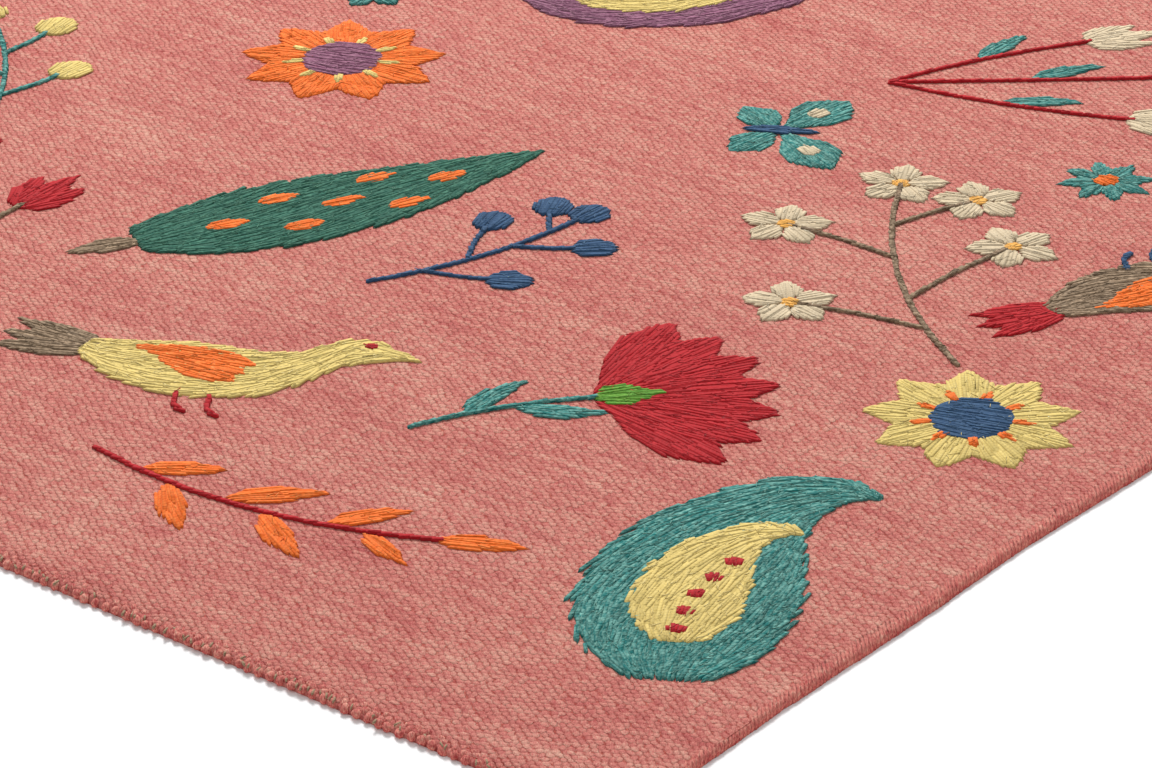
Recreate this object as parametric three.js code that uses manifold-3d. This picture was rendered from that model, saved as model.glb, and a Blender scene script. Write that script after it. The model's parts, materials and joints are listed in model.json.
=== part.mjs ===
// A suzani kilim rug, lying flat: a weft-faced wool ground, a wrapped selvedge down each long side,
// a twisted cord across each end, and wool embroidery standing a little proud of the ground.
// Millimetres, +Z up. X runs across the rug with the weft, Y runs along it with the warp,
// and the origin is on the floor under the middle of the rug.

import * as THREE from 'three';
import { mergeVertices } from 'three/addons/utils/BufferGeometryUtils.js';
import Module from 'manifold-3d';

const wasm = await Module();
wasm.setup();

// Driving dimensions
const RUG_WIDTH = 1200;
const RUG_LENGTH = 1800;
const GROUND_THICK = 4;
const CORD_ACROSS = 5.6;
const CORD_SIDES = 8;
const CORD_STEP = 40;
const PIECE_GAP = 0.3;
const STITCH_RISE = 1.2;
const STEM_WIDTH = 2.8;

// The selvedges wander a little along the rug, as a hand-beaten weft leaves them.
const SELVEDGE_WAVES = [
  { height: 1.3, length: 520, lead: -0.7 },
  { height: 0.7, length: 190, lead: -1.5 },
];

// Worked-out places
const HALF_LENGTH = RUG_LENGTH / 2;
const WANDER_ROOM = SELVEDGE_WAVES.reduce((sum, wave) => sum + wave.height, 0);
const SELVEDGE_X = RUG_WIDTH / 2 - CORD_ACROSS / 2 - WANDER_ROOM;
const END_CORD_Y = HALF_LENGTH - CORD_ACROSS / 2;
const GROUND_HALF_LENGTH = HALF_LENGTH - CORD_ACROSS - PIECE_GAP;
const STITCH_BASE = GROUND_THICK + PIECE_GAP;

const WOOLS = {
  coral: '#d08078',
  yellow: '#dccb74',
  teal: '#34908c',
  orange: '#e26b28',
  bark: '#7c7163',
  red: '#ac222d',
  navy: '#345280',
  cream: '#e8debc',
  green: '#4a8a3c',
  purple: '#784268',
  pine: '#265e5a',
  amber: '#e4a848',
};

const { sin, cos, PI, round } = Math;
const radians = THREE.MathUtils.degToRad;

function woolMaterial(wool) {
  return new THREE.MeshStandardMaterial({ color: WOOLS[wool], roughness: 0.95, metalness: 0 });
}

function named(name, geometry, wool) {
  const mesh = new THREE.Mesh(geometry, woolMaterial(wool));
  mesh.name = name;
  return mesh;
}

// How far the selvedge on one side (1 right, -1 left) stands out at a place along the rug.
function wander(side, y) {
  return SELVEDGE_WAVES.reduce(
    (sum, wave) => sum + wave.height * sin((2 * PI * y) / wave.length + side * wave.lead), 0);
}

// Ground

function kilimGround() {
  const inset = CORD_ACROSS / 2 + PIECE_GAP;
  const steps = round((2 * GROUND_HALF_LENGTH) / CORD_STEP);
  const sideOf = (side) => Array.from({ length: steps + 1 }, (_, k) => {
    const y = -GROUND_HALF_LENGTH + (2 * GROUND_HALF_LENGTH * k) / steps;
    return new THREE.Vector2(side * (SELVEDGE_X - inset + wander(side, y)), y);
  });
  const outline = [...sideOf(1), ...sideOf(-1).reverse()];
  return new THREE.ExtrudeGeometry(new THREE.Shape(outline), { depth: GROUND_THICK, bevelEnabled: false });
}

// Edge cords

// An eight-sided section that lies on one of its flats.
function cordSection() {
  const reach = CORD_ACROSS / 2 / cos(PI / CORD_SIDES);
  const corners = Array.from({ length: CORD_SIDES }, (_, k) => {
    const angle = (2 * PI * (k + 0.5)) / CORD_SIDES;
    return new THREE.Vector2(reach * cos(angle), reach * sin(angle));
  });
  return new THREE.Shape(corners);
}

function selvedge(side) {
  const steps = round(RUG_LENGTH / CORD_STEP);
  const route = Array.from({ length: steps + 1 }, (_, k) => {
    const y = -HALF_LENGTH + (RUG_LENGTH * k) / steps;
    return new THREE.Vector3(side * (SELVEDGE_X + wander(side, y)), y, CORD_ACROSS / 2);
  });
  const path = new THREE.CatmullRomCurve3(route);
  return new THREE.ExtrudeGeometry(cordSection(), { steps, bevelEnabled: false, extrudePath: path });
}

// The end cord runs between the two selvedges and stops just short of each.
function endCord(end) {
  const y = end * HALF_LENGTH;
  const reach = (side) => side * (SELVEDGE_X + wander(side, y) - CORD_ACROSS / 2 - PIECE_GAP);
  const path = new THREE.LineCurve3(
    new THREE.Vector3(reach(-1), end * END_CORD_Y, CORD_ACROSS / 2),
    new THREE.Vector3(reach(1), end * END_CORD_Y, CORD_ACROSS / 2));
  return new THREE.ExtrudeGeometry(cordSection(), { steps: 1, bevelEnabled: false, extrudePath: path });
}

// Embroidery: each motif is a set of flat outlines about its own middle, with its axis along +X,
// and its lengths are shares of its size. A spine is a list of { x, y, turn }, turn in degrees.

function placed(spine, x, y, turn) {
  const c = cos(radians(turn));
  const s = sin(radians(turn));
  return spine.map((p) => ({ x: x + p.x * c - p.y * s, y: y + p.x * s + p.y * c, turn: p.turn + turn }));
}

// A spine from (start, 0) along +X that turns evenly by bend degrees.
function bentLine(length, bend, steps, start = 0) {
  const spine = [{ x: start, y: 0, turn: 0 }];
  for (let k = 1; k <= steps; k += 1) {
    const last = spine[k - 1];
    const heading = radians(last.turn + bend / steps / 2);
    spine.push({
      x: last.x + (length / steps) * cos(heading),
      y: last.y + (length / steps) * sin(heading),
      turn: last.turn + bend / steps,
    });
  }
  return spine;
}

// The point a share of the way along a spine.
function along(spine, share) {
  const at = share * (spine.length - 1);
  const k = Math.min(Math.floor(at), spine.length - 2);
  const mix = (key) => THREE.MathUtils.lerp(spine[k][key], spine[k + 1][key], at - k);
  return { x: mix('x'), y: mix('y'), turn: mix('turn') };
}

// The outline of a band along a spine, with its half width at each point. A zero half width is a tip.
function bandOutline(spine, halves) {
  const edge = (side) => spine.map((p, k) => new THREE.Vector2(
    p.x - side * sin(radians(p.turn)) * halves[k], p.y + side * cos(radians(p.turn)) * halves[k]));
  const left = edge(1).filter((_, k) => halves[k] > 0).reverse();
  return [...edge(-1), ...left];
}

function leaf(length, width, x, y, turn, bend = 0, belly = 0.85) {
  const steps = 3;
  const halves = [0, 1, 2, 3].map((k) => (k === steps ? 0 : (width / 2) * sin(PI * (k / steps) ** belly)));
  return bandOutline(placed(bentLine(length, bend, steps), x, y, turn), halves);
}

function stem(spine) {
  return bandOutline(spine, spine.map(() => STEM_WIDTH / 2));
}

function oval(radiusX, radiusY, x, y, turn, sides = 8) {
  const rim = Array.from({ length: sides }, (_, k) => {
    const angle = (2 * PI * (k + 0.5)) / sides;
    return { x: radiusX * cos(angle), y: radiusY * sin(angle), turn: 0 };
  });
  return placed(rim, x, y, turn).map((p) => new THREE.Vector2(p.x, p.y));
}

// A round of pointed petals as one outline.
function petals(outer, inner, count, x = 0, y = 0, turn = 0) {
  const rim = Array.from({ length: 2 * count }, (_, k) => {
    const reach = k % 2 ? inner : outer;
    const angle = (PI * k) / count;
    return { x: reach * cos(angle), y: reach * sin(angle), turn: 0 };
  });
  return placed(rim, x, y, turn).map((p) => new THREE.Vector2(p.x, p.y));
}

// A shaped body from rows of along, across, half width and heading.
function body(rows, size) {
  const spine = rows.map(([a, b, , turn]) => ({ x: size * a, y: size * b, turn }));
  return bandOutline(spine, rows.map(([, , half]) => size * half));
}

// along, across, half width, heading
const BOTEH = [
  [-0.46, 0.02, 0.07, -6],
  [-0.37, 0.005, 0.155, -4],
  [-0.26, 0, 0.2, 0],
  [-0.14, 0, 0.215, 2],
  [-0.02, 0.01, 0.205, 8],
  [0.09, 0.03, 0.175, 16],
  [0.19, 0.065, 0.135, 26],
  [0.275, 0.115, 0.1, 38],
  [0.335, 0.18, 0.07, 56],
  [0.35, 0.25, 0.045, 82],
  [0.325, 0.31, 0, 112],
];
const DOVE = [
  [-0.32, 0.055, 0.03, -14],
  [-0.22, 0.025, 0.08, -12],
  [-0.1, 0.01, 0.122, 0],
  [0.02, 0.018, 0.132, 10],
  [0.12, 0.05, 0.11, 26],
  [0.19, 0.105, 0.072, 44],
  [0.235, 0.165, 0.052, 54],
  [0.275, 0.215, 0.064, 34],
  [0.33, 0.235, 0.058, 6],
  [0.375, 0.235, 0.02, -4],
  [0.45, 0.225, 0, -8],
];
// A cup or fan starts a little below the end of its stem, so that the two are one piece.
const CUP_SHARE = 0.95;

const CYPRESS_HALVES = [0.05, 0.1, 0.128, 0.135, 0.125, 0.103, 0.074, 0.04, 0];

// share of the stem, side, leaf length
const SPRIG_LEAVES = [
  [0.16, 1, 0.2],
  [0.26, -1, 0.22],
  [0.42, 1, 0.23],
  [0.54, -1, 0.22],
  [0.7, 1, 0.2],
  [0.8, -1, 0.17],
  [0.96, 0, 0.21],
];
// share of the stem, side, reach
const FLOWER_TWIGS = [
  [0.2, 1, 0.26],
  [0.36, -1, 0.3],
  [0.58, 1, 0.24],
  [0.76, -1, 0.2],
];
const BERRY_TWIGS = [
  [0.22, -1, 0.26],
  [0.4, 1, 0.28],
  [0.6, -1, 0.24],
  [0.78, 1, 0.18],
];

// The stem and twigs of a branch, and the points where the twigs end.
function twigs(size, bend, length, rows, lean, curl) {
  const spine = bentLine(length * size, bend, 6, -0.5 * size);
  const outlines = [stem(spine)];
  const ends = [spine.at(-1)];
  for (const [share, side, reach] of rows) {
    const root = along(spine, share);
    const twig = placed(bentLine(reach * size, curl * side, 2), root.x, root.y, root.turn + lean * side);
    outlines.push(stem(twig));
    ends.push(twig.at(-1));
  }
  return { outlines, ends };
}

const MOTIFS = {
  rosette: (s) => [petals(0.49 * s, 0.33 * s, 9, 0, 0, 7)],

  star: (s) => [petals(0.49 * s, 0.25 * s, 8)],

  sprig(s) {
    const spine = bentLine(0.84 * s, 40, 6, -0.5 * s);
    return [stem(spine), ...SPRIG_LEAVES.map(([share, side, length]) => {
      const p = along(spine, share);
      return leaf(length * s, 0.3 * length * s, p.x, p.y, p.turn + 46 * side, -14 * side);
    })];
  },

  tulips(s) {
    const outlines = [];
    for (const [lean, reach] of [[-30, 0.66], [2, 0.8], [34, 0.62]]) {
      const spine = placed(bentLine(reach * s, -0.5 * lean, 4), -0.5 * s, 0, lean);
      const top = along(spine, CUP_SHARE);
      const joint = along(spine, 0.45);
      outlines.push(stem(spine), leaf(0.24 * s, 0.06 * s, joint.x, joint.y, joint.turn + 32, -20));
      for (const [open, length] of [[-30, 0.2], [30, 0.2], [0, 0.24]]) {
        outlines.push(leaf(length * s, 0.085 * s, top.x, top.y, top.turn + open, -0.7 * open, 0.75));
      }
    }
    return outlines;
  },

  carnation(s) {
    const spine = bentLine(0.5 * s, -24, 4, -0.5 * s);
    const outlines = [stem(spine)];
    for (const [share, side] of [[0.3, 1], [0.55, -1]]) {
      const p = along(spine, share);
      outlines.push(leaf(0.26 * s, 0.07 * s, p.x, p.y, p.turn + 40 * side, -30 * side));
    }
    const top = along(spine, CUP_SHARE);
    const teeth = 7;
    const spread = 18.5;
    const rim = [{ x: 0, y: 0, turn: 0 }];
    for (let k = 0; k <= 2 * teeth; k += 1) {
      const angle = radians((spread * (k - teeth)) / 2);
      const reach = s * (k % 2 ? 0.49 : 0.39);
      rim.push({ x: reach * cos(angle), y: reach * sin(angle), turn: 0 });
    }
    outlines.push(placed(rim, top.x, top.y, top.turn).map((p) => new THREE.Vector2(p.x, p.y)));
    return outlines;
  },

  paisley: (s) => [body(BOTEH, s)],

  dove(s) {
    const outlines = [body(DOVE, s)];
    for (const turn of [190, 176, 162]) outlines.push(leaf(0.3 * s, 0.085 * s, -0.24 * s, 0.045 * s, turn));
    for (const x of [-0.02, 0.06]) {
      outlines.push(stem([
        { x: x * s, y: -0.07 * s, turn: -78 },
        { x: (x + 0.02) * s, y: -0.17 * s, turn: -60 },
        { x: (x + 0.06) * s, y: -0.19 * s, turn: -10 },
      ]));
    }
    return outlines;
  },

  pomegranate(s) {
    const spine = bentLine(0.44 * s, 20, 4, -0.5 * s);
    const outlines = [stem(spine)];
    for (const [share, side] of [[0.25, 1], [0.5, -1], [0.75, 1]]) {
      const p = along(spine, share);
      outlines.push(leaf(0.24 * s, 0.085 * s, p.x, p.y, p.turn + 46 * side, -24 * side));
    }
    const radius = 0.2 * s;
    const [centre] = placed([{ x: 0.9 * radius, y: 0, turn: 0 }], spine.at(-1).x, spine.at(-1).y, spine.at(-1).turn);
    outlines.push(oval(radius, radius, centre.x, centre.y, centre.turn, 10));
    for (const lean of [-24, 0, 24]) {
      outlines.push(leaf(1.75 * radius, 0.4 * radius, centre.x, centre.y, centre.turn + lean));
    }
    return outlines;
  },

  cypress(s) {
    const spine = bentLine(0.86 * s, 16, 8, -0.36 * s);
    return [bandOutline(spine, CYPRESS_HALVES.map((h) => h * s)), leaf(0.17 * s, 0.055 * s, -0.33 * s, 0, 180)];
  },

  branch(s) {
    const { outlines, ends } = twigs(s, -34, 0.78, FLOWER_TWIGS, 44, 16);
    return [...outlines, ...ends.map((p) => petals(0.093 * s, 0.042 * s, 5, p.x, p.y, p.turn))];
  },

  berries(s) {
    const { outlines, ends } = twigs(s, 30, 0.8, BERRY_TWIGS, 52, -20);
    return [...outlines, ...ends.map((p) => oval(0.075 * s, 0.06 * s, p.x, p.y, p.turn, 6))];
  },

  butterfly(s) {
    const outlines = [leaf(0.42 * s, 0.085 * s, -0.2 * s, 0, 0)];
    for (const side of [-1, 1]) {
      outlines.push(leaf(0.52 * s, 0.3 * s, 0, 0, side * 54, 0, 1.3));
      outlines.push(leaf(0.36 * s, 0.22 * s, 0, 0, side * 128, 0, 1.2));
    }
    return outlines;
  },
};

// The front half of the field. The back half is the same, turned half round, so the rug reads from both ends.
// kind, main wool, x, y, turn, size, mirrored
const LAYOUT = [
  ['paisley', 'teal', 486, -688, 118, 250, true],
  ['sprig', 'orange', 296, -806, -10, 250, false],
  ['dove', 'yellow', 160, -690, 20, 230, false],
  ['pomegranate', 'orange', 30, -800, 150, 220, false],
  ['carnation', 'red', 318, -570, 70, 210, false],
  ['rosette', 'yellow', 500, -480, 0, 120, false],
  ['branch', 'cream', 330, -360, 150, 300, false],
  ['cypress', 'pine', 74, -500, 60, 300, false],
  ['berries', 'navy', 200, -470, 60, 190, false],
  ['tulips', 'red', -110, -640, 110, 240, false],
  ['dove', 'bark', 484, -288, 60, 210, true],
  ['butterfly', 'teal', 205, -250, 30, 120, false],
  ['sprig', 'amber', 502, -110, 100, 240, true],
  ['rosette', 'orange', -60, -330, 0, 130, false],
  ['star', 'teal', 390, -190, 0, 60, false],
  ['tulips', 'cream', 300, -80, 40, 230, false],
  ['paisley', 'purple', 40, -130, 30, 210, false],
  ['star', 'yellow', -258, -690, 0, 60, false],
  ['berries', 'yellow', -212, -436, 120, 210, false],
  ['branch', 'teal', -170, -180, 60, 260, false],
  ['pomegranate', 'red', -330, -330, 80, 230, true],
  ['dove', 'orange', -330, -566, 0, 240, true],
  ['sprig', 'green', -420, -760, 20, 260, false],
  ['rosette', 'cream', -200, -800, 0, 120, false],
  ['cypress', 'teal', -480, -160, 100, 270, false],
  ['carnation', 'orange', -494, -456, 110, 200, false],
  ['star', 'navy', -500, -640, 0, 60, false],
];

// A flat outline as a closed solid as high as the stitches stand.
function stitchedSolid(outline, mirrored) {
  const points = mirrored ? outline.map((p) => new THREE.Vector2(p.x, -p.y)) : outline;
  const solid = new THREE.ExtrudeGeometry(new THREE.Shape(points), { depth: STITCH_RISE, bevelEnabled: false });
  solid.deleteAttribute('normal');
  solid.deleteAttribute('uv');
  const merged = mergeVertices(solid);
  return new wasm.Manifold(new wasm.Mesh({
    numProp: 3,
    vertProperties: new Float32Array(merged.attributes.position.array),
    triVerts: new Uint32Array(merged.index.array),
  }));
}

// All the outlines of a motif, joined into one solid.
function motifGeometry(outlines, mirrored) {
  const joined = outlines.map((outline) => stitchedSolid(outline, mirrored)).reduce((sum, next) => sum.add(next));
  const { vertProperties, triVerts } = joined.getMesh();
  const geometry = new THREE.BufferGeometry();
  geometry.setAttribute('position', new THREE.BufferAttribute(vertProperties, 3));
  geometry.setIndex(new THREE.BufferAttribute(triVerts, 1));
  geometry.computeVertexNormals();
  return geometry;
}

function embroidery(half) {
  const field = new THREE.Group();
  LAYOUT.forEach(([kind, wool, x, y, turn, size, mirrored], k) => {
    const number = String(k + 1).padStart(2, '0');
    const motif = named(`${kind}_${number}_${half}`, motifGeometry(MOTIFS[kind](size), mirrored), wool);
    motif.position.set(x, y, STITCH_BASE);
    motif.rotation.z = radians(turn);
    field.add(motif);
  });
  return field;
}

const rug = new THREE.Group();
rug.add(named('kilim_ground', kilimGround(), 'coral'));
rug.add(named('selvedge_right', selvedge(1), 'coral'));
rug.add(named('selvedge_left', selvedge(-1), 'coral'));
rug.add(named('end_cord_front', endCord(-1), 'coral'));
rug.add(named('end_cord_back', endCord(1), 'coral'));

const frontField = embroidery('front');
const backField = embroidery('back');
backField.rotation.z = PI;
rug.add(frontField, backField);

export default rug;
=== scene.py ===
"""Looks of a suzani kilim rug: a woven wool ground, wrapped selvedges, closed ends and wool embroidery."""

import json
import random
from bisect import bisect_right
from math import atan2, copysign, cos, floor, hypot, pi, radians, sin, sqrt, tan

import bmesh
import bpy
from mathutils import Matrix, Vector, noise


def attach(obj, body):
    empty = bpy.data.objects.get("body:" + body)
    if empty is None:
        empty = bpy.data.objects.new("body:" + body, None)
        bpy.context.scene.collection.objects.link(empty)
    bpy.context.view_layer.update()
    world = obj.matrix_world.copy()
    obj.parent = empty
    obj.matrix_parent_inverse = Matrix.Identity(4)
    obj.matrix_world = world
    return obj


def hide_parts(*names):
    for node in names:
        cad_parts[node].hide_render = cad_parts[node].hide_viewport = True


bl_info = {
    "name": "Suzani kilim rug",
    "version": (1, 0, 0),
    "blender": (4, 5, 0),
    "location": "View3D > Sidebar > Rug",
    "description": "Weaves, edges and embroiders a flat wool rug around its packed solids",
    "category": "Object",
}

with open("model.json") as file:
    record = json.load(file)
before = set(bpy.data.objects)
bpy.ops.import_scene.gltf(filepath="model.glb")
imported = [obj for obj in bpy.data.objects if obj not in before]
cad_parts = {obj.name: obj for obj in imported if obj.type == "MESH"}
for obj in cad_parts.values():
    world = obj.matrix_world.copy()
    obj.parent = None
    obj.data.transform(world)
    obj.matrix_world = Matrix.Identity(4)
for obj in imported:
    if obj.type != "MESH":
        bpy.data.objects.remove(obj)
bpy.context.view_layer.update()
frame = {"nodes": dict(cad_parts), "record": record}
NODES = list(frame["nodes"])

MM = 0.001

# The rug's own sizes, in millimetres, as its solids have them
RUG_WIDTH = 1200
RUG_LENGTH = 1800
GROUND_THICK = 4
CORD_ACROSS = 5.6
HALF_LENGTH = RUG_LENGTH / 2

# Waves by which a selvedge wanders: how far out, over what length of the rug, and where in the wave it starts
SELVEDGE_WAVES = ((1.3, 520, -0.7), (0.7, 190, -1.5))
SELVEDGE_X = RUG_WIDTH / 2 - CORD_ACROSS / 2 - sum(wave[0] for wave in SELVEDGE_WAVES)

# Soft swells of the ground about its middle height: how high, how long across and along, and where they start
GROUND_MIDDLE = GROUND_THICK - 0.35
GROUND_SWELLS = ((0.22, 310, 540, 0), (0.13, 140, -210, 1))

# Weave: warp ends and picks, in millimetres
WARP_PITCH = 3.3
PICK_PITCH = 2.0

# The lowest that the wool of the edges lies over the floor, in millimetres
LOWEST = 0.05


def from_srgb(*channels):
    """A linear colour from the red, green and blue of a screen, 0 to 255."""
    return tuple(((c / 255 + 0.055) / 1.055) ** 2.4 if c > 10 else c / 255 / 12.92 for c in channels)


# wool: colour, flecked colour, share of flecks
WOOLS = {
    "yellow": (from_srgb(209, 184, 108), from_srgb(226, 207, 143), 0.13),
    "teal": (from_srgb(18, 104, 101), from_srgb(116, 166, 155), 0.42),
    "orange": (from_srgb(228, 101, 29), from_srgb(236, 144, 76), 0.2),
    "bark": (from_srgb(107, 87, 66), from_srgb(164, 141, 116), 0.42),
    "red": (from_srgb(167, 22, 30), from_srgb(184, 56, 61), 0.14),
    "navy": (from_srgb(42, 71, 104), from_srgb(80, 109, 138), 0.18),
    "cream": (from_srgb(201, 182, 151), from_srgb(218, 204, 178), 0.1),
    "green": (from_srgb(78, 134, 40), from_srgb(125, 167, 72), 0.25),
    "purple": (from_srgb(116, 66, 92), from_srgb(166, 120, 138), 0.3),
    "pine": (from_srgb(31, 84, 70), from_srgb(80, 127, 106), 0.3),
    "amber": (from_srgb(222, 160, 74), from_srgb(232, 190, 116), 0.15),
}


def wander(side, y):
    """How far a selvedge (1 right, -1 left) stands out at a place along the rug."""
    return sum(height * sin(2 * pi * y / length + side * lead) for height, length, lead in SELVEDGE_WAVES)


def swell(x, y):
    """The height of the ground over the floor, with the soft swells of a rug that lies flat."""
    height = GROUND_MIDDLE
    for rise, wide, long, start in GROUND_SWELLS:
        height += rise * sin(2 * pi * (x / wide + y / long) + start)
    return height


def held(value, low, high):
    """The value, kept between two others."""
    return min(max(value, low), high)


# Motifs: flat patches about the motif's own middle, with its axis along +X. A spine is a list of
# (x, y, heading in degrees), and each point of it has a half width. The lengths in a motif are shares of its
# size, s.

# Half the width of a stem, in millimetres
STEM_HALF = 1.4


def placed(spine, x, y, turn):
    c, s = cos(radians(turn)), sin(radians(turn))
    return [(x + px * c - py * s, y + px * s + py * c, heading + turn) for px, py, heading in spine]


def point_at(x, y, turn, ahead, aside=0):
    """The point ahead of and beside a place, seen along its heading."""
    return placed([(ahead, aside, 0)], x, y, turn)[0][:2]


def bent_line(length, bend, steps, start=0.0):
    """A spine from (start, 0) along +X that turns evenly by bend degrees."""
    spine = [(start, 0.0, 0.0)]
    for _ in range(steps):
        x, y, heading = spine[-1]
        mid = radians(heading + bend / steps / 2)
        spine.append((x + length / steps * cos(mid), y + length / steps * sin(mid), heading + bend / steps))
    return spine


def along(spine, share):
    """The point a share of the way along a spine."""
    at = share * (len(spine) - 1)
    k = min(int(at), len(spine) - 2)
    return tuple(a + (b - a) * (at - k) for a, b in zip(spine[k], spine[k + 1]))


def patch(wool, spine, halves, layer=0, sewing="long and short"):
    return {"wool": wool, "spine": spine, "halves": halves, "layer": layer, "sewing": sewing}


def leaf(wool, length, width, x, y, turn, bend=0, belly=0.85, layer=0):
    steps = 6
    halves = [width / 2 * sin(pi * (k / steps) ** belly) for k in range(steps)] + [0.0]
    return patch(wool, placed(bent_line(length, bend, steps), x, y, turn), halves, layer, "satin")


def oval(wool, radius_x, radius_y, x, y, turn, layer=0):
    steps, reach = 8, 0.97
    halves = [radius_y * sqrt(1 - (reach * (2 * k / steps - 1)) ** 2) for k in range(steps + 1)]
    spine = placed(bent_line(2 * reach * radius_x, 0, steps, -reach * radius_x), x, y, turn)
    return patch(wool, spine, halves, layer, "satin")


def stem(wool, spine):
    return patch(wool, spine, [STEM_HALF] * len(spine), sewing="stem")


def shaped(wool, rows, size, layer=0):
    """A body from rows of along, across, half width and heading."""
    spine = [(size * a, size * b, heading) for a, b, _, heading in rows]
    return patch(wool, spine, [size * half for _, _, half, _ in rows], layer)


# along, across, half width, heading
BOTEH = (
    (-0.46, 0.02, 0.07, -6),
    (-0.37, 0.005, 0.155, -4),
    (-0.26, 0.0, 0.2, 0),
    (-0.14, 0.0, 0.215, 2),
    (-0.02, 0.01, 0.205, 8),
    (0.09, 0.03, 0.175, 16),
    (0.19, 0.065, 0.135, 26),
    (0.275, 0.115, 0.1, 38),
    (0.335, 0.18, 0.07, 56),
    (0.35, 0.25, 0.045, 82),
    (0.325, 0.31, 0.0, 112),
)
DOVE = (
    (-0.32, 0.055, 0.03, -14),
    (-0.22, 0.025, 0.08, -12),
    (-0.1, 0.01, 0.122, 0),
    (0.02, 0.018, 0.132, 10),
    (0.12, 0.05, 0.11, 26),
    (0.19, 0.105, 0.072, 44),
    (0.235, 0.165, 0.052, 54),
    (0.275, 0.215, 0.064, 34),
    (0.33, 0.235, 0.058, 6),
    (0.375, 0.235, 0.02, -4),
    (0.45, 0.225, 0.0, -8),
)

# Half widths of a cypress from its foot to its tip
CYPRESS_HALVES = (0.05, 0.1, 0.128, 0.135, 0.125, 0.103, 0.074, 0.04, 0.0)

# Where a flower sits on its stem, as a share of the stem
CUP_SHARE = 0.95

# share of the stem, side, length
SPRIG_LEAVES = (
    (0.16, 1, 0.2),
    (0.26, -1, 0.22),
    (0.42, 1, 0.23),
    (0.54, -1, 0.22),
    (0.7, 1, 0.2),
    (0.8, -1, 0.17),
    (0.96, 0, 0.21),
)
FLOWER_TWIGS = ((0.2, 1, 0.26), (0.36, -1, 0.3), (0.58, 1, 0.24), (0.76, -1, 0.2))
BERRY_TWIGS = ((0.22, -1, 0.26), (0.4, 1, 0.28), (0.6, -1, 0.24), (0.78, 1, 0.18))


def rosette(s, petal, heart, ring):
    count, core = 9, 0.2 * s
    patches = []
    for k in range(count):
        turn = 360 * k / count + 7
        x, y = point_at(0, 0, turn, 0.4 * core)
        patches.append(leaf(petal, 0.49 * s - 0.4 * core, 0.24 * s, x, y, turn, belly=1.05))
    patches.append(oval(heart, core, core, 0, 0, 20, layer=1))
    for k in range(count):
        turn = 360 * (k + 0.5) / count + 7
        x, y = point_at(0, 0, turn, 0.8 * core)
        patches.append(leaf(ring, 0.13 * s, 0.045 * s, x, y, turn, layer=1))
    return patches


def star(s, wool, heart):
    patches = [leaf(wool, 0.45 * s, 0.2 * s, *point_at(0, 0, 45 * k, 0.05 * s), 45 * k) for k in range(8)]
    return patches + [oval(heart, 0.13 * s, 0.13 * s, 0, 0, 0, layer=1)]


def sprig(s, blade, wood):
    spine = bent_line(0.84 * s, 40, 6, -0.5 * s)
    patches = [stem(wood, spine)]
    for share, side, length in SPRIG_LEAVES:
        x, y, turn = along(spine, share)
        patches.append(leaf(blade, length * s, 0.3 * length * s, x, y, turn + 46 * side, -14 * side))
    return patches


def tulips(s, cup, wood, blade):
    patches = []
    for lean, reach in ((-30, 0.66), (2, 0.8), (34, 0.62)):
        spine = placed(bent_line(reach * s, -0.5 * lean, 4), -0.5 * s, 0, lean)
        x, y, turn = along(spine, 0.45)
        patches += [stem(wood, spine), leaf(blade, 0.24 * s, 0.06 * s, x, y, turn + 32, -20)]
        x, y, turn = along(spine, CUP_SHARE)
        for opening, length in ((-30, 0.2), (30, 0.2), (0, 0.24)):
            patches.append(leaf(cup, length * s, 0.085 * s, x, y, turn + opening, -0.7 * opening, 0.75))
    return patches


def carnation(s, petal, calyx, wood):
    spine = bent_line(0.5 * s, -24, 4, -0.5 * s)
    patches = [stem(wood, spine)]
    for share, side in ((0.3, 1), (0.55, -1)):
        x, y, turn = along(spine, share)
        patches.append(leaf(wood, 0.26 * s, 0.07 * s, x, y, turn + 40 * side, -30 * side))
    x, y, turn = along(spine, CUP_SHARE)
    teeth, spread = 7, 18.5
    for k in range(teeth):
        lean = spread * (k - (teeth - 1) / 2)
        patches.append(leaf(petal, 0.49 * s, 0.165 * s, x, y, turn + lean, belly=1.5))
    patches.append(leaf(calyx, 0.2 * s, 0.12 * s, x, y, turn, belly=0.7, layer=1))
    return patches


def paisley(s, outer, inner, dot):
    rows = [(0.6 * a - 0.05, 0.6 * b, 0.52 * half, heading) for a, b, half, heading in BOTEH]
    patches = [shaped(outer, BOTEH, s), shaped(inner, rows, s, layer=1)]
    for k in range(5):
        patches.append(oval(dot, 0.022 * s, 0.02 * s, (-0.27 + 0.07 * k) * s, 0.004 * k * k * s, 0, layer=2))
    return patches


def dove(s, shade, wing, tail, foot):
    patches = [leaf(tail, 0.3 * s, 0.085 * s, -0.24 * s, 0.045 * s, turn) for turn in (190, 176, 162)]
    patches.append(shaped(shade, DOVE, s))
    for x in (-0.02, 0.06):
        leg = ((x * s, -0.09 * s, -78), ((x + 0.02) * s, -0.17 * s, -60), ((x + 0.06) * s, -0.19 * s, -10))
        patches.append(stem(foot, list(leg)))
    for k in range(3):
        length = (0.34 - 0.05 * k) * s
        x, y = (0.12 - 0.01 * k) * s, (0.075 - 0.045 * k) * s
        patches.append(leaf(wing, length, 0.085 * s, x, y, 176 - 6 * k, 8, layer=1))
    patches.append(oval(foot, 0.018 * s, 0.015 * s, 0.315 * s, 0.255 * s, 0, layer=1))
    return patches


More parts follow.
